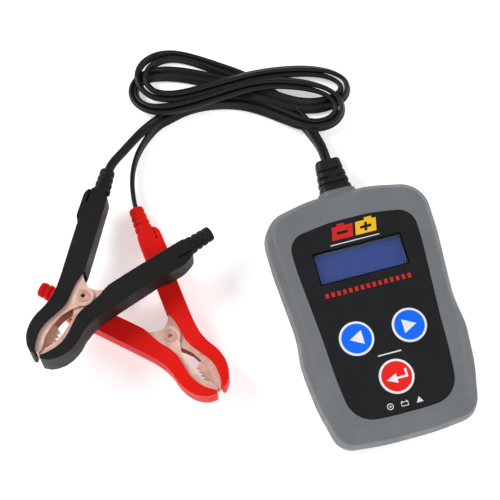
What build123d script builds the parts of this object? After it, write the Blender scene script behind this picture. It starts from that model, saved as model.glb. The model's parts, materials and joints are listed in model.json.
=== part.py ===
from build123d import *
import os
from math import cos, pi, radians, sin, tan

os.makedirs("parts", exist_ok=True)

# A hand-held battery tester with two flat twin leads and two spring clamps.
# +X is to the right, +Y towards the leads, +Z up. The origin is the middle of the
# housing's flat back. Millimetres.

# ---------------------------------------------------------------- housing sizes
case_height = 25.0
split_z = 12.0
wall = 2.2
side_draft = 7.0
bevel_z = 20.5
# right half of the housing's widest outline, from the top middle clockwise
case_half = [(15.0, 61.1), (41.3, 55.6), (41.1, 30.0), (38.6, -3.0), (40.4, -17.0),
             (38.7, -36.0), (33.4, -58.9), (12.0, -61.2)]
case_radii = [60, 15, 90, 60, 30, 70, 11, 120]
# right half of the outline where the bevel meets the flat front
crest_half = [(14.0, 56.8), (37.2, 52.0), (36.9, 30.0), (34.9, -3.0), (34.8, -17.0),
              (32.4, -34.0), (27.9, -51.9), (11.0, -53.3)]
crest_radii = [60, 12, 90, 60, 30, 70, 11, 120]
# right half of the faceplate's outline
panel_half = [(10.0, 45.4), (30.8, 42.4), (30.7, 26.0), (28.0, -10.0), (27.2, -28.0),
              (24.8, -49.8), (9.0, -51.0)]
panel_radii = [60, 9, 120, 90, 120, 13, 90]
recess_z = 24.0
plate_thickness = 0.7
fit_gap = 0.15

# shallow grooves in both sides that make the finger grip
ripple_places = [(40.2, -18.7), (39.0, -32.0), (36.5, -45.3)]
ripple_radius = 4.0
ripple_depth = 0.8

# ---------------------------------------------------------------- display and keys
display_y = 24.4
display_size = (41.6, 14.3)
window_size = (43.4, 15.9)
bezel_size = (50.0, 24.0)
panel_glass = (46.0, 18.6)
board_z = 16.3
board_thickness = 1.6
board_top = board_z + board_thickness
key_radius = 8.2
face_radius = 7.1
face_thickness = 0.4
key_top_z = 25.0
key_clearance = 0.25
key_places = {"left": (-12.75, -12.1), "right": (12.75, -12.1), "enter": (0.0, -33.8)}

# ---------------------------------------------------------------- clamp sizes
# A clamp's own frame: u along the closed jaws, v across them, w along the rivet.
# The cable half lies at positive v (side 1), the free half at negative v (side -1).
# On a handle, s runs from the pivot towards its end and t away from the other handle.
handle_tilt = radians(21.0)
half_thickness = 6.8
nose_half_thickness = 7.6
end_half_thickness = 5.6
cavity_half_thickness = 5.5
handle_end = 55.5
boot_end = 68.0
boot_offset = {1: 7.1, -1: 5.4}
boot_base_radius = 4.3
boot_taper = 3.2
mouth_radius = 2.4
mouth_depth = 2.0
boot_grooves = [58.0, 61.0, 64.0]
sheet = 0.8
outer_plate_w = 4.6
inner_plate_w = 3.5
ear_radius = 5.0
rivet_radius = 1.9
rivet_bore = 1.05
running_gap = 0.05
rivet_end = 6.0
tooth_half_thickness = 1.5
wire_radius = 0.7
coil_radius = 3.9

# ---------------------------------------------------------------- leads
lead_width = 4.6
lead_thickness = 2.3
tube_radius = 1.6
hank_height = 5.6
bundle_height = 9.8


def write(builder, label):
    builder.part.label = label
    export_step(builder.part, f"parts/{label}.step")


def both_sides(half):
    """A closed outline's points, anticlockwise, from its right half, top to bottom."""
    return [(-x, y) for x, y in half] + half[::-1]


def outline(half, radii, inset=0.0):
    """The filleted symmetrical face of a half outline, inset inwards."""
    with BuildSketch() as flat:
        with BuildLine():
            FilletPolyline(*both_sides(half), radius=radii + radii[::-1], close=True)
        make_face()
        if inset:
            offset(amount=-inset, mode=Mode.REPLACE)
    return flat.sketch


# ================================================================ housing
bevel_inset = (bevel_z - split_z) * tan(radians(side_draft))
bottom_draft = split_z * tan(radians(side_draft))

collar_size = (18.8, 14.4)
collar_radius = 6.2
relief_base_y = 62.9
neck_size = (13.4, 8.6)
slot_size = (18.4, 12.4)
boss_places = [(31.0, 48.0), (-31.0, 48.0), (29.0, -47.0), (-29.0, -47.0)]
pillar_places = [(22.0, 42.0), (-22.0, 42.0), (21.0, -42.0), (-21.0, -42.0)]
ripples = [(side * (x + ripple_radius - ripple_depth), y) for side in (1, -1) for x, y in ripple_places]
screw_radius = 1.25

with BuildPart() as front_case:
    with BuildSketch(Plane.XY.offset(split_z)):
        add(outline(case_half, case_radii))
    extrude(amount=bevel_z - split_z, taper=side_draft)
    with BuildSketch(Plane.XY.offset(bevel_z)):
        add(outline(case_half, case_radii, bevel_inset))
    with BuildSketch(Plane.XY.offset(case_height)):
        add(outline(crest_half, crest_radii))
    loft(ruled=True)
    fillet(front_case.faces().sort_by(Axis.Z)[-1].edges(), 1.6)
    fillet(front_case.edges().filter_by(lambda edge: abs(edge.center().Z - bevel_z) < 0.01), 2.4)
    with BuildSketch(Plane.XZ.offset(-57.0)):
        with Locations((0, split_z)):
            RectangleRounded(*collar_size, collar_radius)
        with Locations((0, split_z - collar_size[1])):
            Rectangle(collar_size[0] * 2, collar_size[1] * 2, mode=Mode.SUBTRACT)
    extrude(amount=-(relief_base_y - 57.0))
    with BuildSketch(Plane.XY.offset(split_z)):
        add(outline(case_half, case_radii, wall))
    extrude(amount=recess_z - 2.0 - split_z, taper=12.0, mode=Mode.SUBTRACT)
    with BuildSketch(Plane.XY.offset(recess_z)):
        add(outline(panel_half, panel_radii))
    extrude(amount=case_height, mode=Mode.SUBTRACT)
    with BuildSketch(Plane.XY.offset(recess_z - 3.0)):
        with Locations((0, display_y)):
            Rectangle(window_size[0] - 1.2, window_size[1] - 1.2)
        with Locations(*key_places.values()):
            Circle(key_radius + key_clearance)
    extrude(amount=5.0, mode=Mode.SUBTRACT)
    with BuildSketch(Plane.XY.offset(split_z)):
        with Locations(*boss_places):
            Circle(3.3)
    extrude(amount=recess_z - 2.0 - split_z)
    with BuildSketch(Plane.XY.offset(split_z)):
        with Locations(*boss_places):
            Circle(screw_radius + 0.05)
    extrude(amount=8.0, mode=Mode.SUBTRACT)
    with BuildSketch(Plane.XY.offset(board_top)):
        with Locations(*pillar_places):
            Circle(2.6)
            Circle(1.0, mode=Mode.SUBTRACT)
    extrude(amount=recess_z - 2.0 - board_top)
    with BuildSketch(Plane.XZ.offset(-54.0)):
        with Locations((0, split_z)):
            Rectangle(*neck_size)
    extrude(amount=-14.0, mode=Mode.SUBTRACT)
    with BuildSketch(Plane.XZ.offset(-57.4)):
        with Locations((0, split_z)):
            Rectangle(*slot_size)
    extrude(amount=-3.0, mode=Mode.SUBTRACT)
    with Locations(*[(x, y, split_z) for x, y in ripples]):
        Cylinder(ripple_radius, 16.0, mode=Mode.SUBTRACT)
write(front_case, "front_case")

with BuildPart() as rear_case:
    with BuildSketch():
        add(outline(case_half, case_radii, bottom_draft))
    extrude(amount=split_z, taper=-side_draft)
    fillet(rear_case.faces().sort_by(Axis.Z)[0].edges(), 2.6)
    with BuildSketch(Plane.XZ.offset(-57.0)):
        with Locations((0, split_z)):
            RectangleRounded(*collar_size, collar_radius)
        with Locations((0, split_z + collar_size[1])):
            Rectangle(collar_size[0] * 2, collar_size[1] * 2, mode=Mode.SUBTRACT)
    extrude(amount=-(relief_base_y - 57.0))
    with BuildSketch(Plane.XY.offset(wall)):
        add(outline(case_half, case_radii, bottom_draft + wall))
    extrude(amount=split_z, taper=-side_draft, mode=Mode.SUBTRACT)
    # lip that locates the front case
    with BuildSketch(Plane.XY.offset(split_z - 3.0)):
        add(outline(case_half, case_radii, wall + fit_gap + 0.2))
        add(outline(case_half, case_radii, wall + fit_gap + 1.3), mode=Mode.SUBTRACT)
    extrude(amount=4.2)
    with BuildSketch(Plane.XY.offset(wall)):
        with Locations(*boss_places):
            Circle(4.2)
    extrude(amount=split_z - wall)
    with BuildSketch():
        with Locations(*boss_places):
            Circle(3.1)
    extrude(amount=6.5, mode=Mode.SUBTRACT)
    with BuildSketch():
        with Locations(*boss_places):
            Circle(screw_radius + 0.2)
    extrude(amount=split_z, mode=Mode.SUBTRACT)
    with BuildSketch(Plane.XZ.offset(-54.0)):
        with Locations((0, split_z)):
            Rectangle(*neck_size)
    extrude(amount=-14.0, mode=Mode.SUBTRACT)
    with BuildSketch(Plane.XZ.offset(-57.4)):
        with Locations((0, split_z)):
            Rectangle(*slot_size)
    extrude(amount=-3.0, mode=Mode.SUBTRACT)
    with Locations(*[(x, y, split_z) for x, y in ripples]):
        Cylinder(ripple_radius, 15.0, mode=Mode.SUBTRACT)
write(rear_case, "rear_case")

with BuildPart() as faceplate:
    with BuildSketch(Plane.XY.offset(recess_z)):
        add(outline(panel_half, panel_radii, fit_gap))
        with Locations((0, display_y)):
            Rectangle(*window_size, mode=Mode.SUBTRACT)
        with Locations(*key_places.values()):
            Circle(key_radius + key_clearance, mode=Mode.SUBTRACT)
    extrude(amount=plate_thickness)
write(faceplate, "faceplate")

with BuildPart() as display_window:
    with BuildSketch(Plane.XY.offset(recess_z)):
        with Locations((0, display_y)):
            Rectangle(window_size[0] - 0.1, window_size[1] - 0.1)
    extrude(amount=plate_thickness - 0.1)
write(display_window, "display_window")

# ================================================================ display stack
lip_z = 21.2
with BuildPart() as lcd_bezel:
    with BuildSketch(Plane.XY.offset(board_top)):
        with Locations((0, display_y)):
            Rectangle(*bezel_size)
            Rectangle(panel_glass[0] + 0.4, panel_glass[1] + 0.4, mode=Mode.SUBTRACT)
    extrude(amount=lip_z - board_top)
    with BuildSketch(Plane.XY.offset(lip_z)):
        with Locations((0, display_y)):
            Rectangle(*bezel_size)
            Rectangle(*display_size, mode=Mode.SUBTRACT)
    extrude(amount=0.7)
    chamfer(lcd_bezel.faces().sort_by(Axis.Z)[-1].inner_wires()[0].edges(), 0.4)
write(lcd_bezel, "lcd_bezel")

with BuildPart() as lcd_panel:
    with BuildSketch(Plane.XY.offset(lip_z - 1.8)):
        with Locations((0, display_y)):
            Rectangle(*panel_glass)
    extrude(amount=1.8)
write(lcd_panel, "lcd_panel")

with BuildPart() as lcd_backlight:
    with BuildSketch(Plane.XY.offset(board_top)):
        with Locations((0, display_y)):
            Rectangle(*panel_glass)
    extrude(amount=lip_z - 1.8 - board_top - 0.05)
write(lcd_backlight, "lcd_backlight")

# ================================================================ electronics
with BuildPart() as circuit_board:
    with BuildSketch(Plane.XY.offset(board_z)):
        RectangleRounded(52.0, 94.0, 2.0)
        with Locations(*pillar_places):
            Circle(1.2, mode=Mode.SUBTRACT)
        with Locations((0, 46.0)):
            Rectangle(8.0, 3.0, mode=Mode.SUBTRACT)
    extrude(amount=board_thickness)
write(circuit_board, "circuit_board")

with BuildPart() as keypad:
    with BuildSketch(Plane.XY.offset(board_top)):
        with Locations((0, -22.5)):
            RectangleRounded(37.0, 38.0, 3.0)
    extrude(amount=0.9)
    for key_x, key_y in key_places.values():
        with BuildSketch(Plane.XY.offset(board_top + 0.9)):
            with Locations((key_x, key_y)):
                Circle(5.0)
        extrude(amount=0.8, taper=30)
        with BuildSketch(Plane.XY.offset(board_top)):
            with Locations((key_x, key_y)):
                Circle(4.2)
        extrude(amount=1.0, mode=Mode.SUBTRACT)
write(keypad, "keypad")

with BuildPart() as key_contacts:
    with BuildSketch(Plane.XY.offset(board_top)):
        with Locations(*key_places.values()):
            with PolarLocations(1.6, 2):
                Rectangle(2.4, 5.0)
    extrude(amount=0.1)
write(key_contacts, "key_contacts")

with BuildPart() as controller_chip:
    with BuildSketch(Plane.XY.offset(board_z - 1.6)):
        with Locations((0, 18.0)):
            Rectangle(12.0, 12.0)
    extrude(amount=1.5)
    with BuildSketch(Plane.XY.offset(board_z - 0.5)):
        with GridLocations(13.6, 1.6, 2, 6):
            with Locations((0, 18.0)):
                Rectangle(1.6, 0.7)
        with GridLocations(1.6, 13.6, 6, 2):
            with Locations((0, 18.0)):
                Rectangle(0.7, 1.6)
    extrude(amount=0.5)
write(controller_chip, "controller_chip")

with BuildPart() as load_resistors:
    with BuildSketch(Plane.XY.offset(board_z - 9.2)):
        with Locations((-12.5, -14.0), (-12.5, -26.0)):
            Rectangle(22.0, 9.5)
    extrude(amount=9.2)
    chamfer(load_resistors.faces().sort_by(Axis.Z)[:2].edges(), 0.8)
write(load_resistors, "load_resistors")

with BuildPart() as power_transistors:
    with BuildSketch(Plane.XY.offset(board_z - 4.6)):
        with Locations((10.0, -12.0), (10.0, -30.0)):
            Rectangle(10.0, 9.2)
    extrude(amount=4.5)
    with BuildSketch(Plane.XY.offset(board_z - 1.4)):
        with Locations((10.0, -5.0), (10.0, -23.0)):
            Rectangle(10.0, 6.0)
            Circle(1.8, mode=Mode.SUBTRACT)
    extrude(amount=1.3)
write(power_transistors, "power_transistors")

with BuildPart() as capacitors:
    with Locations((20.0, 8.0, board_z - 4.0), (20.0, 19.0, board_z - 4.0)):
        Cylinder(4.0, 8.0)
    fillet(capacitors.faces().sort_by(Axis.Z)[:2].edges(), 0.6)
write(capacitors, "capacitors")

core_places = [-4.2, -1.6, 1.6, 4.2]
with BuildPart() as lead_cores:
    for core_x in core_places:
        with BuildLine() as core_path:
            FilletPolyline((core_x, 57.6, split_z), (core_x, 42.0, split_z),
                           (core_x, 42.0, board_z), radius=[3.0])
        with BuildSketch(Plane(origin=(core_x, 57.6, split_z), z_dir=(0, -1, 0))):
            Circle(0.75)
        sweep(path=core_path.line)
write(lead_cores, "lead_cores")

with BuildPart() as board_screws:
    with BuildSketch(Plane.XY.offset(board_z - 1.6)):
        with Locations(*pillar_places):
            Circle(2.0)
    extrude(amount=1.6)
    with BuildSketch(Plane.XY.offset(board_z)):
        with Locations(*pillar_places):
            Circle(0.95)
    extrude(amount=4.5)
write(board_screws, "board_screws")

with BuildPart() as case_screws:
    with BuildSketch(Plane.XY.offset(4.3)):
        with Locations(*boss_places):
            Circle(2.7)
    extrude(amount=2.2)
    with BuildSketch(Plane.XY.offset(6.5)):
        with Locations(*boss_places):
            Circle(screw_radius)
    extrude(amount=12.5)
    with BuildSketch(Plane.XY.offset(4.3)):
        with Locations(*boss_places):
            Rectangle(3.2, 0.7)
            Rectangle(0.7, 3.2)
    extrude(amount=1.2, mode=Mode.SUBTRACT)
write(case_screws, "case_screws")

# ================================================================ keys
for key, (key_x, key_y) in key_places.items():
    with BuildPart() as cap:
        with BuildSketch(Plane.XY.offset(20.8)):
            with Locations((key_x, key_y)):
                Circle(9.6)
        extrude(amount=0.9)
        with BuildSketch(Plane.XY.offset(21.7)):
            with Locations((key_x, key_y)):
                Circle(key_radius)
        extrude(amount=key_top_z - 21.7)
        fillet(cap.faces().sort_by(Axis.Z)[-1].edges(), 0.25)
        with BuildSketch(Plane.XY.offset(20.2)):
            with Locations((key_x, key_y)):
                Circle(3.0)
        extrude(amount=0.6)
        with BuildSketch(Plane.XY.offset(key_top_z - face_thickness)):
            with Locations((key_x, key_y)):
                Circle(face_radius)
        extrude(amount=1.0, mode=Mode.SUBTRACT)
    write(cap, f"key_{key}")
    with BuildPart() as face:
        with BuildSketch(Plane.XY.offset(key_top_z - face_thickness)):
            with Locations((key_x, key_y)):
                Circle(face_radius - 0.03)
        extrude(amount=face_thickness)
    write(face, f"key_{key}_face")

# ================================================================ strain relief
relief_tip_y = 80.4
relief_base = (16.2, 11.2)
relief_tip = (12.0, 8.2)
grooves = {65.9: 1.8, 69.9: 1.2, 73.6: 1.3}
split_groove = 69.9
exit_x = 1.65


def relief_section(y):
    """The strain relief's width and height at a place along it."""
    share = (y - relief_base_y) / (relief_tip_y - relief_base_y)
    return [base + (tip - base) * share for base, tip in zip(relief_base, relief_tip)]


with BuildPart() as strain_relief:
    with BuildSketch(Plane.XZ.offset(-57.6)):
        with Locations((0, split_z)):
            RectangleRounded(18.0, 12.0, 1.5)
    extrude(amount=-2.6)
    with BuildSketch(Plane.XZ.offset(-60.0)):
        with Locations((0, split_z)):
            Rectangle(neck_size[0] - 0.2, neck_size[1] - 0.2)
    extrude(amount=-(relief_base_y - 60.0))
    with BuildSketch(Plane.XZ.offset(-relief_base_y)):
        with Locations((0, split_z)):
            RectangleRounded(*relief_base, 3.4)
    with BuildSketch(Plane.XZ.offset(-relief_tip_y)):
        with Locations((0, split_z)):
            RectangleRounded(*relief_tip, 2.6)
    loft()
    fillet(strain_relief.faces().sort_by(Axis.Y)[-1].edges(), 1.4)
    for groove_y, groove_width in grooves.items():
        width, height = relief_section(groove_y)
        with BuildSketch(Plane.XZ.offset(-groove_y)):
            with Locations((0, split_z)):
                Rectangle(20.0, 14.0)
                RectangleRounded(width - 1.2, height - 2.4, 2.6, mode=Mode.SUBTRACT)
                if groove_y == split_groove:
                    Rectangle(3.4, 14.0, mode=Mode.SUBTRACT)
        extrude(amount=-groove_width, mode=Mode.SUBTRACT)
write(strain_relief, "strain_relief")

# ================================================================ clamps


def on_handle(s, t):
    """A point of the handle at positive v, in the clamp's u and v."""
    return (t * sin(handle_tilt) - s * cos(handle_tilt), t * cos(handle_tilt) + s * sin(handle_tilt))


def handle_plane(base, side, s, t):
    """The plane square to a handle, its x pointing away from the other handle."""
    along = base.y_dir * (side * sin(handle_tilt)) - base.x_dir * cos(handle_tilt)
    across = base.x_dir * sin(handle_tilt) + base.y_dir * (side * cos(handle_tilt))
    return Plane(origin=base.origin + along * s + across * t, x_dir=across, z_dir=along)


def clamp_plane(pivot, heading, normal):
    """A clamp's own frame from its pivot, the jaws' heading in degrees and the rivet's direction."""
    level = Vector(cos(radians(heading)), sin(radians(heading)), 0)
    rivet_way = Vector(*normal).normalized()
    jaw_way = (level - rivet_way * level.dot(rivet_way)).normalized()
    return Plane(origin=pivot, x_dir=jaw_way, z_dir=rivet_way)


def corner_radii(points, largest=1000.0):
    """For each inner point: 0.45 of its shorter run over the tangent of half its turn."""
    radii = []
    for before, here, after in zip(points, points[1:], points[2:]):
        run_in = Vector(*here) - Vector(*before)
        run_out = Vector(*after) - Vector(*here)
        half_turn = radians(run_in.get_angle(run_out) / 2)
        radii.append(min(largest, 0.45 * min(run_in.length, run_out.length) / tan(half_turn)))
    return radii


def clamp_face(points, side, largest):
    """The face inside a rounded outline of one clamp half, mirrored for the free half."""
    points = [(u, side * v) for u, v in points][::side]
    with BuildSketch() as flat:
        with BuildLine():
            FilletPolyline(*points, radius=corner_radii(points[-1:] + points + points[:1], largest),
                           close=True)
        make_face()
    return flat.sketch


# the outside of a half: along the mouth, round the nose, out along the handle and back
mouth_edge = [(0.0, 5.6), (5.0, 4.2), (9.0, 3.8), (15.0, 4.9), (20.3, 6.1), (25.5, 5.9), (31.0, 3.8),
              (34.8, 1.3)]
nose_edge = [(35.8, 2.4), (34.3, 6.2), (30.2, 9.9), (25.0, 11.8), (19.8, 12.1), (14.5, 11.3),
             (9.0, 11.3), (3.0, 12.8)]
handle_edge = {
    1: [on_handle(8.0, 12.8), on_handle(36.0, 12.7), on_handle(38.5, 14.2), on_handle(55.5, 13.9),
        on_handle(55.5, 2.4), on_handle(12.0, 2.4), (-4.6, 6.4)],
    -1: [on_handle(8.0, 12.8), on_handle(35.5, 12.5), on_handle(38.0, 13.8), on_handle(47.0, 14.3),
         on_handle(53.6, 12.2), on_handle(55.5, 8.4), on_handle(55.5, 2.4), on_handle(12.0, 2.4),
         (-4.6, 6.4)]}
hollow_edge = [(34.4, -3.0), (34.2, 2.6), (32.6, 5.4), (30.6, 7.6), (25.5, 9.8), (20.0, 10.2), (14.5, 9.5),
               (9.0, 9.5), (3.0, 10.9), on_handle(8.0, 11.0), on_handle(46.5, 11.0),
               on_handle(46.5, 4.2), on_handle(13.0, 4.2), (-9.5, 3.0), (-9.5, -3.0)]
# the middle of the folded sheet's back, then the plates' edge along the mouth
sheet_back = [(33.7, 0.9), (32.3, 3.3), (30.2, 6.7), (25.3, 9.2), (20.0, 9.6), (14.5, 8.9),
              (9.0, 8.9), (3.0, 10.3), on_handle(8.0, 10.4), on_handle(45.2, 10.4)]
sheet_mouth = [on_handle(45.2, 4.6), on_handle(13.5, 4.6), (-6.5, 4.0), (-4.4, -1.2), (4.5, -2.0),
               (8.5, 0.8), (13.0, 2.6), (20.0, 3.2), (26.0, 2.4), (31.0, 0.15), (33.7, 0.15)]
tooth_pitch = 2.0
tooth_tips = [(19.2 + tooth_pitch * i, -0.6 - 0.22 * tooth_pitch * i) for i in range(4)]
tooth_line = [point for u, v in tooth_tips for point in ((u, v), (u + tooth_pitch, v + 1.5))]
tooth_plate = {1: [(17.5, 8.6), (17.5, 4.2)] + tooth_line + [(31.0, -1.6), (32.9, 0.2), (31.2, 3.2),
                   (29.4, 6.1), (25.0, 8.3), (20.0, 8.8)],
               -1: [(26.8, 7.6), (27.4, 3.0), (31.6, 3.0), (30.8, 4.4), (29.2, 6.2)]}
half_names = {1: "cable", -1: "free"}


def clamp_cover(base, side, turn):
    """The moulded cover of one half, its boot bored for a flat lead at a turn in degrees."""
    along = handle_plane(base, side, 0.0, 0.0).z_dir
    with BuildPart() as cover:
        with BuildSketch(base):
            add(clamp_face(mouth_edge + nose_edge + handle_edge[side], side, 14.0))
        extrude(amount=nose_half_thickness, both=True)
        with BuildSketch(Plane(origin=base.origin, x_dir=base.x_dir, z_dir=base.y_dir)):
            profile = [(37.0, nose_half_thickness), (10.0, nose_half_thickness),
                       (3.0, half_thickness), (-24.0, half_thickness),
                       (-49.0, end_half_thickness), (-54.0, end_half_thickness)]
            Polygon(*profile, *[(u, -w) for u, w in profile[::-1]], align=None)
        extrude(amount=60.0, both=True, mode=Mode.INTERSECT)
        with BuildSketch(handle_plane(base, side, handle_end, boot_offset[side])):
            Circle(boot_base_radius)
        extrude(amount=boot_end - handle_end, taper=boot_taper)
        fillet(cover.faces().sort_by(Axis(base.origin, along))[-1].edges(), 0.9)
        for groove in boot_grooves:
            with BuildSketch(handle_plane(base, side, groove, boot_offset[side])):
                Circle(boot_base_radius + 1.0)
                Circle(boot_base_radius - 0.9, mode=Mode.SUBTRACT)
            extrude(amount=1.0, mode=Mode.SUBTRACT)
        with BuildSketch(base):
            add(clamp_face(hollow_edge, side, 1.5))
        extrude(amount=cavity_half_thickness, both=True, mode=Mode.SUBTRACT)
        with BuildSketch(handle_plane(base, side, 46.0, 7.6)):
            Rectangle(6.8, 7.0)
        extrude(amount=7.0, mode=Mode.SUBTRACT)
        with BuildSketch(handle_plane(base, side, 52.0, boot_offset[side])):
            RectangleRounded(lead_width + 0.3, lead_thickness + 0.3, 1.25, rotation=turn)
        extrude(amount=boot_end - 52.0 + 1.0, mode=Mode.SUBTRACT)
        with BuildSketch(handle_plane(base, side, boot_end - mouth_depth, boot_offset[side])):
            Circle(mouth_radius)
        extrude(amount=mouth_depth + 1.0, mode=Mode.SUBTRACT)
        # the crease between the boot's root and the thumb tab, on both faces
        with BuildSketch(handle_plane(base, side, 46.6, boot_offset[side] + boot_base_radius)):
            with Locations((0, end_half_thickness), (0, -end_half_thickness)):
                Rectangle(0.7, 2.2)
        extrude(amount=handle_end - 46.0, mode=Mode.SUBTRACT)
    return cover


def clamp_jaw(base, side):
    """One half's folded sheet-metal jaw: two plates joined by a back, with the pivot's ears."""
    hole = rivet_radius if side == 1 else rivet_radius + running_gap
    back = [(u, side * v) for u, v in sheet_back]
    with BuildPart() as jaw:
        for start_w in (-side * (outer_plate_w + sheet / 2), side * (inner_plate_w + sheet / 2)):
            with BuildSketch(base.offset(start_w)):
                add(clamp_face(sheet_back + sheet_mouth, side, 3.0))
                Circle(ear_radius)
                Circle(hole, mode=Mode.SUBTRACT)
            extrude(amount=sheet / 2, both=True)
        outer_w = -side * (outer_plate_w + sheet)
        with BuildSketch(base.offset(outer_w)):
            with BuildLine() as back_line:
                FilletPolyline(*back, radius=corner_radii(back, 6.0))
            trace(line_width=sheet)
        extrude(amount=side * (outer_plate_w + inner_plate_w + 2 * sheet))
    return jaw


def clamp_teeth(base, side):
    """The toothed contact plate that stands in the middle of one jaw."""
    with BuildPart() as teeth:
        with BuildSketch(base):
            with BuildLine():
                Polyline(*[(u, side * v) for u, v in tooth_plate[side]][::side], close=True)
            make_face()
        extrude(amount=tooth_half_thickness, both=True)
    return teeth


def clamp_rivet(base):
    """The hollow rivet that both jaws turn on, with its two rolled heads."""
    with BuildPart() as rivet:
        with BuildSketch(base):
            Circle(rivet_radius)
        extrude(amount=rivet_end, both=True)
        for way in (1, -1):
            with BuildSketch(base.offset(way * (rivet_end - 0.5))):
                Circle(3.0)
            extrude(amount=way * 0.5)
        fillet(rivet.edges().group_by(Axis(base.origin, base.z_dir))[-1], 0.3)
        fillet(rivet.edges().group_by(Axis(base.origin, base.z_dir))[0], 0.3)
        with BuildSketch(base):
            Circle(rivet_bore)
        extrude(amount=rivet_end, both=True, mode=Mode.SUBTRACT)
    return rivet


def spring_wire(base, side, w, reach):
    """The straight leg of the torsion spring along the back of one handle."""
    start = Vector(-reach * 0.76, side * reach * 0.65, w)
    end = Vector(*[value * sign for value, sign in zip(on_handle(24.0, 9.0), (1, side))], w)
    way = base.from_local_coords(end) - base.from_local_coords(start)
    with BuildPart() as leg:
        with BuildSketch(Plane(origin=base.from_local_coords(start), z_dir=way)):
            Circle(wire_radius)
        extrude(amount=way.length)
    return leg


def clamp_spring(base):
    """The torsion spring's closed coil round the rivet, with the leg of the cable half."""
    with BuildPart() as spring:
        with BuildSketch(Plane(origin=base.origin, x_dir=base.x_dir, z_dir=-base.y_dir)):
            with Locations(*[(coil_radius, wire_radius * 1.9 * turn) for turn in (-1.5, -0.5, 0.5, 1.5)]):
                Circle(wire_radius)
        revolve(axis=Axis(base.origin, base.z_dir))
        add(spring_wire(base, 1, wire_radius * 2.85, coil_radius).part)
    return spring


def clamp_lug(base):
    """The crimp lug that joins the lead's cores to the cable half's jaw."""
    with BuildPart() as lug:
        with BuildSketch(handle_plane(base, 1, 41.0, 9.6)):
            Rectangle(0.8, 4.6)
        extrude(amount=7.5)
        with BuildSketch(handle_plane(base, 1, 46.6, 7.9)):
            Circle(2.4)
        extrude(amount=5.6)
    return lug


clamp_bases = {"red_clamp": clamp_plane((-95.5, 14.2, 7.5), -62.2, (-0.0235 * 0.466, 0.0235 * 0.885, 1.0)),
               "black_clamp": clamp_plane((-130.2, 38.7, 23.3), 221.4, (-0.03, -0.11, -1.0))}
lead_turns = {"red_clamp": 90.0, "black_clamp": 0.0}
for clamp, base in clamp_bases.items():
    for side, half in half_names.items():
        write(clamp_cover(base, side, lead_turns[clamp]), f"{clamp}_{half}_cover")
        write(clamp_jaw(base, side), f"{clamp}_{half}_jaw")
        write(clamp_teeth(base, side), f"{clamp}_{half}_teeth")
    write(clamp_rivet(base), f"{clamp}_rivet")
    write(clamp_spring(base), f"{clamp}_spring")
    write(spring_wire(base, -1, -wire_radius * 2.85, coil_radius + 1.5), f"{clamp}_spring_leg")
    write(clamp_lug(base), f"{clamp}_lug")
    print(clamp, "pivot", base.origin, "rivet way", base.z_dir, "cable boot end",
          handle_plane(base, 1, boot_end, boot_offset[1]).origin)

# ================================================================ leads
# each lead's route from the strain relief, and from the hank to its clamp
boot_mouths = {clamp: handle_plane(base, 1, boot_end - mouth_depth, boot_offset[1])
               for clamp, base in clamp_bases.items()}
lead_exits = {"black": [(exit_x, relief_tip_y, split_z), (1.7, 87.6, 10.2), (1.2, 94.6, 5.0),
                        (-0.6, 102.4, 2.4)],
              "red": [(-exit_x, relief_tip_y, split_z), (-1.9, 87.6, 10.2), (-2.6, 94.6, 5.0),
                      (-5.8, 102.8, 2.4)]}
lead_tails = {"black": [(-80.6, 125.6, 3.4), (-89.6, 118.2, 6.8), (-97.6, 110.4, 12.0)],
              "red": [(-74.6, 126.4, 2.6), (-83.0, 117.6, 2.2), (-90.0, 107.2, 2.6), (-95.0, 96.2, 4.4)]}


def lead_tube(route):
    """A lead's tube along a route of straight runs joined by tangent arcs."""
    radii = corner_radii(route)
    print("lead radii", [round(radius, 1) for radius in radii])
    with BuildPart() as tube:
        with BuildLine() as path:
            FilletPolyline(*route, radius=radii)
        with BuildSketch(Plane(origin=route[0], z_dir=path.line % 0)):
            Circle(tube_radius)
        sweep(path=path.line)
    print("volume", round(tube.part.volume, 1), "section times length",
          round(pi * tube_radius**2 * path.wire().length, 1))
    return tube


for lead in ("black", "red"):
    write(lead_tube(lead_exits[lead]), f"{lead}_lead_exit")
    mouth = boot_mouths[f"{lead}_clamp"].origin
    write(lead_tube(lead_tails[lead] + [(mouth.X, mouth.Y, mouth.Z)]), f"{lead}_lead_tail")

hank_edge = [(4.8, 137.2), (13.0, 136.0), (21.0, 131.0), (25.8, 120.0), (21.6, 109.5), (13.0, 98.8),
             (0.0, 98.0), (-9.0, 103.5), (-17.0, 113.5), (-33.0, 119.6), (-53.0, 122.8), (-70.0, 123.2),
             (-80.5, 130.2), (-88.3, 138.5), (-88.2, 148.5), (-81.0, 158.5), (-70.0, 165.0), (-58.0, 164.2),
             (-44.5, 154.0), (-30.0, 141.2), (-8.0, 139.0)]
bundle_edge = [(-64.0, 140.4), (-32.0, 139.4), (-6.0, 137.8), (12.0, 134.4), (20.6, 128.0), (23.6, 119.0),
               (19.4, 109.6), (11.6, 100.2), (0.6, 99.4), (-7.6, 104.8), (-15.4, 115.0), (-32.4, 121.4),
               (-52.6, 124.6), (-69.4, 125.0), (-79.0, 131.6), (-86.4, 139.4), (-84.0, 150.0),
               (-76.0, 155.4)]
with BuildPart() as lead_hank:
    with BuildSketch():
        with BuildLine():
            FilletPolyline(*hank_edge, radius=corner_radii(hank_edge[-1:] + hank_edge + hank_edge[:1]),
                           close=True)
        make_face()
    extrude(amount=hank_height)
    fillet(lead_hank.faces().sort_by(Axis.Z)[-1].edges(), 2.2)
    with BuildSketch():
        with BuildLine():
            FilletPolyline(*bundle_edge, radius=corner_radii(bundle_edge[-1:] + bundle_edge + bundle_edge[:1]),
                           close=True)
        make_face()
    extrude(amount=bundle_height)
    fillet(lead_hank.faces().sort_by(Axis.Z)[-1].edges(), 2.2)
write(lead_hank, "lead_hank")
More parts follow.
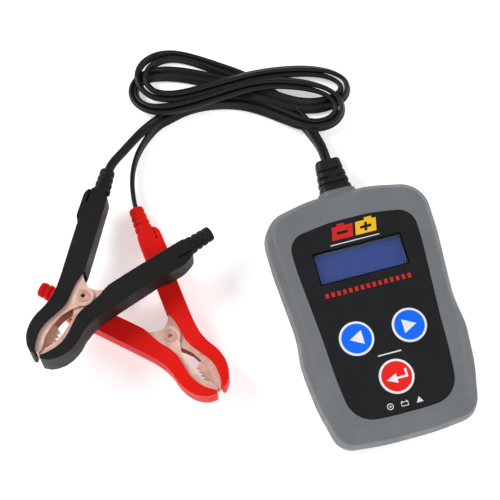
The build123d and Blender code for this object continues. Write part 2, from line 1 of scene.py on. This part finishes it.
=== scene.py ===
import json
from math import cos, pi, radians, sin

import bmesh
import bpy
import numpy as np
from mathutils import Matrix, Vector


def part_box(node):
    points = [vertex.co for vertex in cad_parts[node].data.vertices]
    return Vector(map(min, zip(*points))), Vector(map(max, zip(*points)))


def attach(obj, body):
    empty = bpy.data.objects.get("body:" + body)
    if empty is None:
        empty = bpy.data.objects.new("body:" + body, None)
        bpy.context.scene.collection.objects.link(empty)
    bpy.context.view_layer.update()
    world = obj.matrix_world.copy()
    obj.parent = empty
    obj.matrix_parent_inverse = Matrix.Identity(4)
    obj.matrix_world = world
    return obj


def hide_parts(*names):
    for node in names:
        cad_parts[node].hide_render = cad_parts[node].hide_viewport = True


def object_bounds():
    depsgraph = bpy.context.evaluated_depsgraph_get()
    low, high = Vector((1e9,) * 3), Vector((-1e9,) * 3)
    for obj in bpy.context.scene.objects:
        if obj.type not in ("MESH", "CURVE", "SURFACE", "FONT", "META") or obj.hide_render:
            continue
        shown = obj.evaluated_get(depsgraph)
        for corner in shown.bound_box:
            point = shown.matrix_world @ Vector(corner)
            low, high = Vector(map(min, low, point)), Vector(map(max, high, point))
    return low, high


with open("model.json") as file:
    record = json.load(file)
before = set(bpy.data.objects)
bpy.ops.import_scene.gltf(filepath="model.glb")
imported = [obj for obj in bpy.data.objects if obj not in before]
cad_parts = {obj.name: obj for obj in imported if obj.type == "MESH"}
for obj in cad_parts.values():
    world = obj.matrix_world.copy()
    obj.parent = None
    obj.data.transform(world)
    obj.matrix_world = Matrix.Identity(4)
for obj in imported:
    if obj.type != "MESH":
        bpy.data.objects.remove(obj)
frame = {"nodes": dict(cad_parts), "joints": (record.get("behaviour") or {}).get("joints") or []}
cad_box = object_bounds()
nodes = frame["nodes"]
MM = 0.001


# ---------------------------------------------------------------- camera
def make_camera():
    """The camera above and a little in front of the tester, looking down at it."""
    bpy.context.scene.view_settings.view_transform = "Standard"
    data = bpy.data.cameras.new("camera")
    data.lens = 96.3
    data.sensor_width = 36.0
    camera = bpy.data.objects.new("camera", data)
    camera.location = Vector((-98.0, -140.6, 626.2)) * MM
    target = Vector((-49.2, 42.1, 24.6)) * MM
    camera.rotation_euler = (target - camera.location).to_track_quat("-Z", "Y").to_euler()
    bpy.context.scene.collection.objects.link(camera)
    bpy.context.scene.camera = camera


# ---------------------------------------------------------------- meshes
def new_object(name, mesh):
    """A new object that holds a mesh, linked to the scene."""
    obj = bpy.data.objects.new(name, mesh)
    bpy.context.scene.collection.objects.link(obj)
    return obj


def finish_mesh(name, bm, smooth_angle=35.0):
    """The object of a bmesh, smooth except along edges sharper than the angle in degrees."""
    bmesh.ops.recalc_face_normals(bm, faces=bm.faces)
    mesh = bpy.data.meshes.new(name)
    bm.to_mesh(mesh)
    bm.free()
    mesh.shade_smooth()
    mesh.set_sharp_from_angle(angle=radians(smooth_angle))
    return new_object(name, mesh)


# tubes stay smooth across their sides, and sharp at their ends
TUBE_SMOOTH_ANGLE = 60


def tube_rings(bm, rings):
    """Joins closed rings of points, each as long as the next, and closes both ends."""
    loops = [[bm.verts.new(point) for point in ring] for ring in rings]
    count = len(loops[0])
    for near, far in zip(loops, loops[1:]):
        for i in range(count):
            j = (i + 1) % count
            bm.faces.new((near[i], near[j], far[j], far[i]))
    bm.faces.new(loops[0])
    bm.faces.new(loops[-1][::-1])


def spline_points(points, name):
    """Points along the smooth NURBS curve that has these control points."""
    curve = bpy.data.curves.new(name, "CURVE")
    curve.dimensions = "3D"
    curve.resolution_u = 10
    spline = curve.splines.new("NURBS")
    spline.points.add(len(points) - 1)
    for control, point in zip(spline.points, points):
        control.co = (*point, 1.0)
    spline.order_u = 3
    spline.use_endpoint_u = True
    obj = new_object(name, curve)
    mesh = bpy.data.meshes.new_from_object(obj)
    line = [vertex.co.copy() for vertex in mesh.vertices]
    bpy.data.objects.remove(obj)
    bpy.data.meshes.remove(mesh)
    return line


# ---------------------------------------------------------------- leads
LEAD_WIDTH = 4.6
LEAD_THICKNESS = 2.3
# each jacket is this much of a circle, in degrees, and the groove is what is left
JACKET_ARC = 252
# The pair of leads along the wound stretch, in millimetres: the pair's middle x and y, the
# height of its underside, how far each lead lies to its side of the middle, and how far the
# flat leads lean, in degrees. The black lead keeps to the right of the way they run.
PAIR = [
    (0, 79.9, 9.7, 1.2, 90), (0, 84.5, 8.9, 1.2, 90), (0, 90, 6.2, 1.25, 86),
    (-1, 97.5, 1.8, 1.35, 75), (-3, 106, 0.0, 1.7, 50), (-9, 116, 0.0, 2.0, 32),
    (-15, 124.5, 0.0, 2.1, 20), (-21, 131, 0.0, 2.1, 20), (-27, 138, 0.0, 1.9, 35),
    (-35, 144.5, 0.0, 1.5, 55), (-44, 151.2, 0.0, 1.3, 70), (-52, 156.6, 0.0, 1.3, 76),
    (-59.5, 160, 0.0, 1.5, 76), (-67, 160.5, 0.0, 2.0, 74), (-73.7, 157.3, 1.4, 2.3, 74),
    (-77.2, 151.5, 3.3, 2.3, 70), (-77.3, 145.5, 3.3, 1.9, 60), (-73.7, 140.2, 3.0, 1.65, 50),
    (-67, 137.2, 2.8, 1.65, 45), (-59, 136, 2.8, 1.65, 45), (-48, 136, 3.2, 1.65, 45),
    (-36, 136.2, 4.2, 1.65, 45), (-23, 136.4, 4.4, 1.65, 45), (-11, 136, 3.0, 1.6, 42),
    (1, 134.7, 1.2, 1.5, 42), (10.5, 132.2, 0.2, 1.45, 50), (17.3, 128.4, 0.0, 1.7, 62),
    (21.6, 123.4, 0.0, 1.9, 70), (20.8, 117.6, 0.0, 1.8, 70), (15.0, 114.4, 0.0, 1.9, 58),
    (8, 114.0, 0.0, 1.9, 40), (1, 115, 0.3, 1.9, 32), (-7.5, 118, 1.5, 2.0, 22),
    (-16, 123, 3.0, 2.1, 16), (-24.5, 129, 3.0, 2.1, 16), (-33, 135, 1.4, 2.0, 26),
    (-42, 140.7, 0.2, 1.9, 35), (-50.5, 145.5, 0.0, 1.8, 40), (-59, 149.4, 0.0, 1.8, 40),
    (-67, 151.8, 0.0, 1.8, 42), (-74.3, 152.3, 0.0, 1.6, 58), (-80.3, 149.8, 0.0, 1.35, 75),
    (-83.4, 144.5, 0.4, 1.3, 80), (-82.2, 138, 1.6, 1.35, 70), (-77, 132.8, 3.0, 1.5, 55),
    (-69.5, 130.2, 4.0, 1.65, 45), (-60, 129.8, 4.0, 1.65, 45), (-50, 130.3, 4.1, 1.65, 45),
    (-38, 131, 4.6, 1.65, 45), (-26, 131.2, 5.8, 1.65, 45), (-14, 130, 5.4, 1.6, 42),
    (-4, 127.2, 4.5, 1.55, 42), (4.3, 123.6, 4.1, 1.55, 48), (11.4, 118.6, 4.4, 1.6, 60),
    (15.3, 112.4, 4.4, 1.7, 68), (14.6, 106.2, 3.8, 1.7, 68), (9.4, 102.4, 3.4, 1.6, 66),
    (1.7, 101.9, 4.1, 1.4, 62), (-5.5, 105.0, 4.1, 1.5, 55), (-13, 112, 2.4, 1.65, 48),
    (-21.5, 119.6, 0.7, 1.65, 45), (-31, 125.6, 0.0, 1.65, 45), (-41, 128.8, 0.0, 1.65, 45),
    (-51, 130.3, 0.0, 1.65, 45), (-61, 130, 0.0, 1.7, 42), (-69, 128, 0.0, 1.9, 36)]
# Each lead's own way from the wound stretch to its clamp: x, y, middle height and lean.
TAILS = {
    "black": [
        (-76.5, 126.8, 2.2, 25), (-83.5, 122.6, 4.2, 10), (-90, 117.0, 7.2, 0),
        (-96.2, 110.9, 11.2, 0), (-101.2, 106.2, 14.4, 0), (-104.9, 101.75, 15.6, 0),
        (-110.5, 91.1, 15.75, 0)],
    "red": [
        (-75.2, 124.2, 2.2, 45), (-81.8, 119.2, 2.4, 60), (-87.6, 113.2, 2.7, 75),
        (-91.8, 106.4, 3.3, 85), (-94.6, 98.8, 4.2, 90), (-96.0, 90.6, 5.4, 90),
        (-96.5, 82.5, 6.07, 90), (-95.1, 70.6, 6.3, 90)]}


def half_height(lean):
    """Half the height of a flat lead that leans by an angle in degrees."""
    return (LEAD_WIDTH - LEAD_THICKNESS) / 2 * abs(sin(radians(lean))) + LEAD_THICKNESS / 2


def lead_route(lead):
    """One lead's control points and leans, from the strain relief to its clamp."""
    side = 1 if lead == "black" else -1
    places = [Vector(entry[:2]) for entry in PAIR]
    route = []
    for i, (x, y, under, aside, lean) in enumerate(PAIR):
        way = (places[min(i + 1, len(PAIR) - 1)] - places[max(i - 1, 0)]).normalized()
        if i == 0:
            way = Vector((0.0, 1.0))
        shift = Vector((way.y, -way.x)) * aside * side
        route.append((x + shift.x, y + shift.y, under + half_height(lean), lean))
    return route + TAILS[lead]


def twin_section(half_side=9):
    """The outline of the flat twin lead: two round cores' jackets with a groove between."""
    radius = LEAD_THICKNESS / 2
    angles = [radians(JACKET_ARC * (i / half_side - 0.5)) for i in range(half_side + 1)]
    right = [(radius + radius * cos(angle), radius * sin(angle)) for angle in angles]
    return right + [(-x, -y) for x, y in right]


def make_lead(lead):
    """A flat twin lead swept along its route, leaning as the route says."""
    route = lead_route(lead)
    line = spline_points([Vector(entry[:3]) * MM for entry in route], f"{lead}_line")
    share = np.linspace(0, len(route) - 1, len(line))
    leans = np.interp(share, range(len(route)), [entry[3] for entry in route])
    section = twin_section()
    rings = []
    for i, point in enumerate(line):
        way = (line[min(i + 1, len(line) - 1)] - line[max(i - 1, 0)]).normalized()
        right = Vector((way.y, -way.x, 0)).normalized()
        up = right.cross(way)
        lean = radians(leans[i])
        flat = right * cos(lean) + up * sin(lean)
        thick = up * cos(lean) - right * sin(lean)
        rings.append([point + (flat * x + thick * y) * MM for x, y in section])
    bm = bmesh.new()
    tube_rings(bm, rings)
    return finish_mesh(f"{lead}_lead", bm, TUBE_SMOOTH_ANGLE), line


def make_leads():
    """Both leads, in place of their plain solids: each one's object, line and clamp pieces."""
    leads = {}
    for lead in ("black", "red"):
        obj, line = make_lead(lead)
        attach(obj, "tester")
        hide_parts(f"{lead}_lead_exit", f"{lead}_lead_tail", "lead_hank")
        carried = [nodes[name] for name in nodes if name.startswith(f"{lead}_clamp")]
        leads[lead] = (obj, line, carried)
    return leads


def declare_leads(leads, stand_ins):
    """Gathers the clamp pieces that each lead carries, with stand-ins in their place; the list is
    not used.
    """
    for obj, line, carried in leads.values():
        pieces = [stand_ins.get(piece.name, piece) for piece in carried]
        list(dict.fromkeys(pieces))


# ---------------------------------------------------------------- materials
def linear(red, green, blue):
    """A colour given as 0 to 255 display values, as the shader's linear colour."""
    def channel(value):
        share = value / 255
        return share / 12.92 if share <= 0.04045 else ((share + 0.055) / 1.055) ** 2.4
    return (channel(red), channel(green), channel(blue), 1.0)


def shade(colour, factor):
    """A colour made lighter or darker by a factor."""
    return tuple(min(1.0, value * factor) for value in colour[:3]) + (1.0,)


# where a ramp starts and ends in a noise value, and the noises' detail
RAMP_START, RAMP_END = 0.35, 0.65
MOTTLE_DETAIL, GLOSS_DETAIL = 4.0, 3.0


class Surface:
    """A procedural material, built up from named layers of noise."""

    def __init__(self, name, colour, roughness, metallic=0.0, specular=0.5, coat=0.0):
        self.material = bpy.data.materials.new(name)
        self.material.use_nodes = True
        self.tree = self.material.node_tree
        self.shader = self.tree.nodes["Principled BSDF"]
        self.colour = colour
        self.shader.inputs["Base Color"].default_value = colour
        self.shader.inputs["Roughness"].default_value = roughness
        self.shader.inputs["Metallic"].default_value = metallic
        self.shader.inputs["Specular IOR Level"].default_value = specular
        self.shader.inputs["Coat Weight"].default_value = coat
        self.place = self.tree.nodes.new("ShaderNodeTexCoord").outputs["Object"]
        self.normal = None

    def noise(self, scale, detail):
        """A noise value over the surface, scale in features per metre."""
        texture = self.tree.nodes.new("ShaderNodeTexNoise")
        texture.inputs["Scale"].default_value = scale
        texture.inputs["Detail"].default_value = detail
        self.tree.links.new(self.place, texture.inputs["Vector"])
        return texture.outputs["Fac"]

    def ramp(self, value, low, high):
        """A ramp between two colours over the middle of a noise value."""
        node = self.tree.nodes.new("ShaderNodeValToRGB")
        node.color_ramp.elements[0].position = RAMP_START
        node.color_ramp.elements[0].color = low
        node.color_ramp.elements[1].position = RAMP_END
        node.color_ramp.elements[1].color = high
        self.tree.links.new(value, node.inputs["Fac"])
        return node.outputs["Color"]

    def mottle(self, scale, low, high):
        """Slight changes of the base colour."""
        colours = shade(self.colour, low), shade(self.colour, high)
        colour = self.ramp(self.noise(scale, MOTTLE_DETAIL), *colours)
        self.tree.links.new(colour, self.shader.inputs["Base Color"])

    def gloss(self, scale, low, high):
        """Roughness that wanders between two values."""
        grey = [(value, value, value, 1.0) for value in (low, high)]
        value = self.ramp(self.noise(scale, GLOSS_DETAIL), *grey)
        self.tree.links.new(value, self.shader.inputs["Roughness"])

    def bump(self, scale, depth, detail=2.0):
        """Fine relief, depth in millimetres."""
        node = self.tree.nodes.new("ShaderNodeBump")
        node.inputs["Strength"].default_value = 1.0
        node.inputs["Distance"].default_value = depth * MM
        self.tree.links.new(self.noise(scale, detail), node.inputs["Height"])
        if self.normal:
            self.tree.links.new(self.normal, node.inputs["Normal"])
        self.normal = node.outputs["Normal"]
        self.tree.links.new(self.normal, self.shader.inputs["Normal"])


def plastic(name, colour, roughness, grain, grain_scale, specular):
    """Moulded plastic: a spark-eroded grain, slight mottling and an uneven sheen."""
    surface = Surface(name, linear(*colour), roughness, specular=specular)
    surface.mottle(60.0, 0.95, 1.05)
    surface.gloss(140.0, roughness - 0.05, roughness + 0.07)
    surface.bump(grain_scale, grain)
    surface.bump(35.0, 0.05, 1.0)
    return surface.material


def metal(name, colour, roughness, scratch, scratch_scale, metallic):
    """Metal with fine scratches and patches that have dulled."""
    surface = Surface(name, linear(*colour), roughness, metallic=metallic)
    surface.mottle(220.0, 0.88, 1.05)
    surface.gloss(320.0, roughness - 0.08, roughness + 0.14)
    surface.bump(scratch_scale, scratch, 4.0)
    return surface.material


def clear_window():
    """The clear display window."""
    surface = Surface("window_clear", (0.9, 0.92, 0.97, 1.0), 0.06)
    surface.shader.inputs["Transmission Weight"].default_value = 1.0
    surface.shader.inputs["IOR"].default_value = 1.2
    surface.gloss(200.0, 0.03, 0.08)
    surface.bump(20.0, 0.01, 1.0)
    return surface.material


def display_blue():
    """The lit blue-violet display."""
    colour = linear(66, 84, 150)
    surface = Surface("lcd_blue", colour, 0.35, specular=0.4)
    surface.mottle(45.0, 0.96, 1.05)
    surface.gloss(100.0, 0.3, 0.4)
    surface.shader.inputs["Emission Color"].default_value = colour
    surface.shader.inputs["Emission Strength"].default_value = 0.2
    surface.bump(1500.0, 0.004)
    return surface.material


def board_green():
    """The circuit board's solder mask."""
    surface = Surface("board_green", linear(20, 84, 46), 0.3, coat=0.3)
    surface.mottle(300.0, 0.8, 1.15)
    surface.gloss(200.0, 0.25, 0.4)
    surface.bump(900.0, 0.02)
    return surface.material


# Each plastic: its name, display colour, roughness, the grain's depth in millimetres and its
# scale, and how strongly it mirrors.
PLASTICS = {
    "housing": ("housing_grey", (112, 116, 120), 0.5, 0.03, 2300.0, 0.35),
    "panel": ("panel_black", (27, 29, 31), 0.4, 0.008, 5200.0, 0.22),
    "bezel": ("bezel_grey", (120, 124, 130), 0.45, 0.02, 2600.0, 0.45),
    "white": ("key_white", (236, 238, 244), 0.35, 0.006, 3000.0, 0.45),
    "blue": ("key_blue", (0, 108, 250), 0.3, 0.006, 3000.0, 0.45),
    "red_key": ("key_red", (232, 28, 22), 0.3, 0.006, 3000.0, 0.45),
    "boot": ("boot_black", (27, 27, 28), 0.5, 0.02, 2000.0, 0.25),
    "lead": ("lead_black", (26, 26, 27), 0.42, 0.015, 1800.0, 0.28),
    "clamp_red": ("clamp_red", (226, 26, 20), 0.45, 0.012, 2200.0, 0.08),
    "clamp_black": ("clamp_black", (31, 31, 32), 0.45, 0.012, 2200.0, 0.12),
    "silicone": ("silicone_grey", (150, 152, 154), 0.6, 0.02, 2600.0, 0.45),
    "chip": ("chip_black", (28, 28, 30), 0.55, 0.02, 3000.0, 0.45),
    "ceramic": ("ceramic_white", (214, 208, 194), 0.7, 0.04, 1500.0, 0.45),
    "sleeve": ("capacitor_sleeve", (24, 32, 74), 0.3, 0.02, 2600.0, 0.45),
    "core": ("core_insulation", (176, 28, 22), 0.35, 0.02, 2600.0, 0.45),
    "print_red": ("print_red", (206, 30, 26), 0.4, 0.004, 3000.0, 0.45),
    "print_yellow": ("print_yellow", (246, 186, 20), 0.4, 0.004, 3000.0, 0.45),
    "print_white": ("print_white", (224, 226, 230), 0.4, 0.004, 3000.0, 0.45)}
# Each metal: its name, display colour, roughness, the scratches' depth in millimetres and
# their scale, and how metallic it is.
METALS = {
    "copper": ("copper_plate", (254, 208, 192), 0.36, 0.012, 700.0, 0.4),
    "lug": ("tinned_lug", (190, 188, 182), 0.3, 0.01, 900.0, 1.0),
    "rivet": ("rivet_copper", (236, 186, 168), 0.3, 0.01, 900.0, 0.5),
    "spring": ("spring_steel", (58, 56, 56), 0.38, 0.01, 1600.0, 1.0),
    "zinc": ("zinc_steel", (176, 176, 170), 0.3, 0.01, 900.0, 1.0),
    "gold": ("contact_gold", (214, 176, 98), 0.25, 0.01, 900.0, 1.0)}


def make_materials():
    """Every material, by the name used in the tables below."""
    materials = {key: plastic(*row) for key, row in PLASTICS.items()}
    materials.update({key: metal(*row) for key, row in METALS.items()})
    materials.update(window=clear_window(), lcd=display_blue(), board=board_green())
    return materials


NODE_MATERIALS = {
    "front_case": "housing", "rear_case": "housing", "faceplate": "panel",
    "display_window": "window", "lcd_bezel": "bezel", "lcd_panel": "lcd",
    "lcd_backlight": "white", "circuit_board": "board", "keypad": "silicone",
    "key_contacts": "gold", "controller_chip": "chip", "load_resistors": "ceramic",
    "power_transistors": "chip", "capacitors": "sleeve", "lead_cores": "core",
    "board_screws": "zinc", "case_screws": "zinc", "strain_relief": "boot",
    "key_left": "white", "key_right": "white", "key_enter": "white",
    "key_left_face": "blue", "key_right_face": "blue", "key_enter_face": "red_key"}
# a clamp's pieces, by the last word of the node's name
CLAMP_MATERIALS = {
    "jaw": "copper", "teeth": "copper", "rivet": "rivet", "spring": "spring", "leg": "spring",
    "lug": "lug"}


def paint(obj, material):
    """Gives an object one material."""
    obj.data.materials.clear()
    obj.data.materials.append(material)


def paint_nodes(materials):
    """Gives every CAD node its material."""
    for name, obj in nodes.items():
        if name in NODE_MATERIALS:
            paint(obj, materials[NODE_MATERIALS[name]])
        elif "clamp" in name and name.endswith("cover"):
            paint(obj, materials["clamp_red" if name.startswith("red") else "clamp_black"])
        elif "clamp" in name:
            paint(obj, materials[CLAMP_MATERIALS[name.split("_")[-1]]])
        else:
            paint(obj, materials["lead"])


# ---------------------------------------------------------------- moulded shells
def moulded(name, node, body, material, voxel, rounds, keep):
    """A softly rounded moulding in place of a CAD solid with sharp edges.

    The voxel size is in millimetres, rounds is how often it is smoothed, and keep is the
    share of its faces that stays.
    """
    obj = new_object(name, nodes[node].data.copy())
    remesh = obj.modifiers.new("remesh", "REMESH")
    remesh.mode = "VOXEL"
    remesh.voxel_size = voxel * MM
    smooth = obj.modifiers.new("smooth", "SMOOTH")
    smooth.factor = 0.5
    smooth.iterations = rounds
    thin = obj.modifiers.new("thin", "DECIMATE")
    thin.ratio = keep
    bpy.context.view_layer.update()
    depsgraph = bpy.context.evaluated_depsgraph_get()
    mesh = bpy.data.meshes.new_from_object(obj.evaluated_get(depsgraph))
    obj.modifiers.clear()
    obj.data = mesh
    mesh.shade_smooth()
    paint(obj, material)
    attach(obj, body)
    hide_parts(node)
    return obj


def make_mouldings(materials):
    """The clamps' covers and the strain relief, with the round edges of mouldings."""
    stand_ins = {}
    for clamp in ("red", "black"):
        for half, body in (("cable", "tester"), ("free", f"{clamp}_free_half")):
            node = f"{clamp}_clamp_{half}_cover"
            stand_ins[node] = moulded(
                f"{clamp}_{half}_moulding", node, body, materials[f"clamp_{clamp}"],
                voxel=0.3, rounds=7, keep=0.25)
    moulded("strain_relief_moulding", "strain_relief", "tester", materials["boot"],
            voxel=0.25, rounds=4, keep=0.3)
    return stand_ins


# ---------------------------------------------------------------- springs
# which way each clamp's jaws point, in degrees from +X, seen from above
CLAMP_HEADS = {"black": 221.4, "red": -62.2}
# the springs' coils round the rivet, in millimetres, with the coil's start in degrees
COIL_RADIUS = 3.9
WIRE_RADIUS = 0.7
COIL_TURNS = 3.5
COIL_STEPS = 98
COIL_START = 139
COIL_TOP = 1.9
COIL_PITCH = 1.0875
# a spring leg's points, along the clamp and to its side
LEG = [(-3.0, 2.6), (-8.6, 7.4), (-18.8, 16.9)]


def clamp_axes(clamp):
    """A clamp's pivot, and its directions: u along the jaws, v across them, w along the rivet."""
    joint = next(joint for joint in frame["joints"] if joint["name"] == f"{clamp}_clamp_hinge")
    w = -Vector(joint["axis"]).normalized()
    heading = radians(CLAMP_HEADS[clamp])
    level = Vector((cos(heading), sin(heading), 0.0))
    u = (level - w * level.dot(w)).normalized()
    return Vector(joint["pos_m"]), u, w.cross(u), w


def wire(name, line, radius, sides=10):
    """A round wire along a line of points."""
    rings = []
    for i, point in enumerate(line):
        way = (line[min(i + 1, len(line) - 1)] - line[max(i - 1, 0)]).normalized()
        right = way.orthogonal() if i == 0 else right - way * right.dot(way)
        right.normalize()
        up = way.cross(right)
        turns = [2 * pi * k / sides for k in range(sides)]
        rings.append([point + (right * cos(turn) + up * sin(turn)) * radius for turn in turns])
    bm = bmesh.new()
    tube_rings(bm, rings)
    return finish_mesh(name, bm, TUBE_SMOOTH_ANGLE)


def make_springs(materials, stand_ins):
    """Each clamp's torsion spring: a wound coil with one leg on each half."""
    for clamp in ("red", "black"):
        pivot, u, v, w = clamp_axes(clamp)

        def spot(along, across, up):
            return pivot + (u * along + v * across + w * up) * MM

        def leg(side):
            return [spot(x, side * y, side * COIL_TOP) for x, y in LEG]

        coil = []
        for i in range(COIL_STEPS + 1):
            turned = COIL_TURNS * i / COIL_STEPS
            angle = radians(COIL_START) - 2 * pi * turned
            coil.append(spot(COIL_RADIUS * cos(angle), COIL_RADIUS * sin(angle),
                             COIL_TOP - COIL_PITCH * turned))
        piece = wire(f"{clamp}_spring_coil", leg(1)[::-1] + coil, WIRE_RADIUS * MM)
        free_leg = wire(f"{clamp}_spring_free_leg", leg(-1), WIRE_RADIUS * MM)
        for obj, node, body in ((piece, f"{clamp}_clamp_spring", "tester"),
                                (free_leg, f"{clamp}_clamp_spring_leg", f"{clamp}_free_half")):
            paint(obj, materials["spring"])
            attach(obj, body)
            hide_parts(node)
            stand_ins[node] = obj


# ---------------------------------------------------------------- printed marks
PRINT_THICKNESS = 0.05
KEY_SIGN_THICKNESS = 0.06
# how far the cells' sides lean to the right, per millimetre of height
SLOPE = 0.22
# the row of charge segments under the display
SEGMENTS = 15
SEGMENT_PITCH = 2.85
SEGMENT_WIDTH = 1.6


def printed(name, outlines, top, material, body, thick=PRINT_THICKNESS):
    """A thin printed mark that lies on a level, from outlines in millimetres."""
    bm = bmesh.new()
    for outline in outlines:
        low = [bm.verts.new(Vector((x, y, top)) * MM) for x, y in outline]
        high = [bm.verts.new(Vector((x, y, top + thick)) * MM) for x, y in outline]
        bm.faces.new(high)
        bm.faces.new(low[::-1])
        for i in range(len(outline)):
            j = (i + 1) % len(outline)
            bm.faces.new((low[i], low[j], high[j], high[i]))
    obj = finish_mesh(name, bm, 30)
    paint(obj, material)
    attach(obj, body)


def bar(x0, y0, x1, y1):
    """A rectangle's outline."""
    return [(x0, y0), (x1, y0), (x1, y1), (x0, y1)]


def disc(x, y, radius, count=14):
    """A circle's outline."""
    turns = [2 * pi * i / count for i in range(count)]
    return [(x + radius * cos(turn), y + radius * sin(turn)) for turn in turns]


def ring_parts(x, y, inner, outer, count=16):
    """A ring as a row of small four-sided outlines."""
    parts = []
    for i in range(count):
        a, b = 2 * pi * i / count, 2 * pi * (i + 1) / count
        corners = ((inner, a), (outer, a), (outer, b), (inner, b))
        parts.append([(x + radius * cos(turn), y + radius * sin(turn)) for radius, turn in corners])
    return parts


def battery(x, y, width, height, line):
    """A plain battery sign: a frame of four bars with two posts."""
    left, right = x - width / 2, x + width / 2
    low, high = y - height / 2, y + height / 2
    post = width / 6
    return [bar(left, low, right, low + line), bar(left, high - line, right, high),
            bar(left, low + line, left + line, high - line),
            bar(right - line, low + line, right, high - line),
            bar(left + post / 2, high, left + post * 1.5, high + line * 1.3),
            bar(right - post * 1.5, high, right - post / 2, high + line * 1.3)]


def slanted(outlines, level):
    """Outlines that lean to the right above a level, and to the left below it."""
    return [[(x + (y - level) * SLOPE, y) for x, y in outline] for outline in outlines]


def make_marks(materials):
    """Generic signs on the panel and the keys, in place of the real object's marks."""
    panel_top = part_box("faceplate")[1].z / MM

    def panel_mark(name, outlines, colour):
        printed(name, outlines, panel_top, materials[f"print_{colour}"], "tester")

    # two leaning battery cells with posts, the gaps between their bars a minus and a plus
    minus_cell = [bar(-9.6, 36.2, 0.6, 38.6), bar(-9.6, 38.6, -7.2, 40.0),
                  bar(-1.8, 38.6, 0.6, 40.0), bar(-9.6, 40.0, 0.6, 42.6),
                  bar(-7.2, 42.6, -3.6, 43.8)]
    plus_cell = [bar(1.9, 36.2, 12.1, 37.3), bar(1.9, 37.3, 6.3, 38.7),
                 bar(7.7, 37.3, 12.1, 38.7), bar(1.9, 38.7, 4.2, 40.1),
                 bar(9.8, 38.7, 12.1, 40.1), bar(1.9, 40.1, 6.3, 41.5),
                 bar(7.7, 40.1, 12.1, 41.5), bar(1.9, 41.5, 12.1, 42.6),
                 bar(6.4, 42.6, 10.0, 43.8)]
    cell_middle = 40.0
    panel_mark("mark_cell_red", slanted(minus_cell, cell_middle), "red")
    panel_mark("mark_cell_yellow", slanted(plus_cell, cell_middle), "yellow")
    panel_mark("mark_rule", [bar(-12.0, 33.9, 12.0, 34.35)], "white")
    starts = [-21.0 + SEGMENT_PITCH * i for i in range(SEGMENTS)]
    segments = [bar(start, 9.8, start + SEGMENT_WIDTH, 12.0) for start in starts]
    panel_mark("mark_cells", segments, "red")
    panel_mark("mark_enter", [bar(-5.6, -22.9, 5.6, -22.3)], "white")
    signs = ring_parts(-6.8, -46.6, 1.15, 1.55) + [disc(-6.8, -46.6, 0.45)]
    signs += battery(0.0, -46.9, 3.4, 2.1, 0.32)
    signs += [[(5.4, -47.9), (8.6, -47.9), (7.0, -45.2)]]
    panel_mark("mark_signs", signs, "white")

    def key_mark(key, shapes):
        low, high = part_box(f"key_{key}_face")
        middle = (low + high) / 2 / MM
        moved = [[(middle.x + x, middle.y + y) for x, y in shape] for shape in shapes]
        printed(f"key_{key}_sign", moved, high.z / MM, materials["white"], f"key_{key}",
                KEY_SIGN_THICKNESS)

    arrow_left = [(-3.3, 0.0), (3.0, -3.4), (3.0, 3.4)]
    key_mark("left", [arrow_left])
    key_mark("right", [[(-x, -y) for x, y in arrow_left]])
    back_arrow = [[(-5.0, -0.9), (0.0, -3.2), (0.0, 1.4)], bar(0.0, -1.4, 5.2, -0.4),
                  bar(4.2, -0.4, 5.2, 2.6)]
    key_mark("enter", back_arrow)


# ---------------------------------------------------------------- stage
WHITE = (1.0, 1.0, 1.0, 1.0)
# the floor's half side, how far it lies under the lowest point, and how far it glows
FLOOR_SIZE = 1.6
FLOOR_DROP = 0.0002
FLOOR_GLOW = 0.5
ROOM_LIGHT = 0.3
# the lamps are round, this wide, and point at the middle of the object
LAMP_WIDTH = 0.5
LAMP_TARGET = Vector((-0.05, 0.04, 0.0))
# each lamp's place in metres and its power in watts
LAMPS = {
    "key_light": ((-0.75, 0.55, 0.75), 8.0),
    "side_light": ((0.9, -0.1, 0.7), 5.0),
    "front_light": ((-0.1, -0.9, 0.6), 3.0)}


def make_stage():
    """The pale floor, the soft lights and the room's even light."""
    bm = bmesh.new()
    bmesh.ops.create_grid(bm, x_segments=8, y_segments=8, size=FLOOR_SIZE)
    floor = finish_mesh("floor", bm)
    floor.location.z = min(cad_box[0][2], 0.0) - FLOOR_DROP
    surface = Surface("floor_white", (0.9, 0.9, 0.9, 1.0), 0.8, specular=0.1)
    surface.mottle(3.0, 0.99, 1.0)
    surface.shader.inputs["Emission Color"].default_value = WHITE
    surface.shader.inputs["Emission Strength"].default_value = FLOOR_GLOW
    paint(floor, surface.material)
    world = bpy.data.worlds.new("room")
    world.use_nodes = True
    world.node_tree.nodes["Background"].inputs["Color"].default_value = WHITE
    world.node_tree.nodes["Background"].inputs["Strength"].default_value = ROOM_LIGHT
    bpy.context.scene.world = world
    for name, (place, power) in LAMPS.items():
        data = bpy.data.lights.new(name, "AREA")
        data.shape = "DISK"
        data.size = LAMP_WIDTH
        data.energy = power
        lamp = bpy.data.objects.new(name, data)
        lamp.location = place
        aim = LAMP_TARGET - Vector(place)
        lamp.rotation_euler = aim.to_track_quat("-Z", "Y").to_euler()
        bpy.context.scene.collection.objects.link(lamp)


make_camera()
leads = make_leads()
materials = make_materials()
paint_nodes(materials)
for lead_object, *_ in leads.values():
    paint(lead_object, materials["lead"])
stand_ins = make_mouldings(materials)
make_springs(materials, stand_ins)
declare_leads(leads, stand_ins)
make_marks(materials)
make_stage()
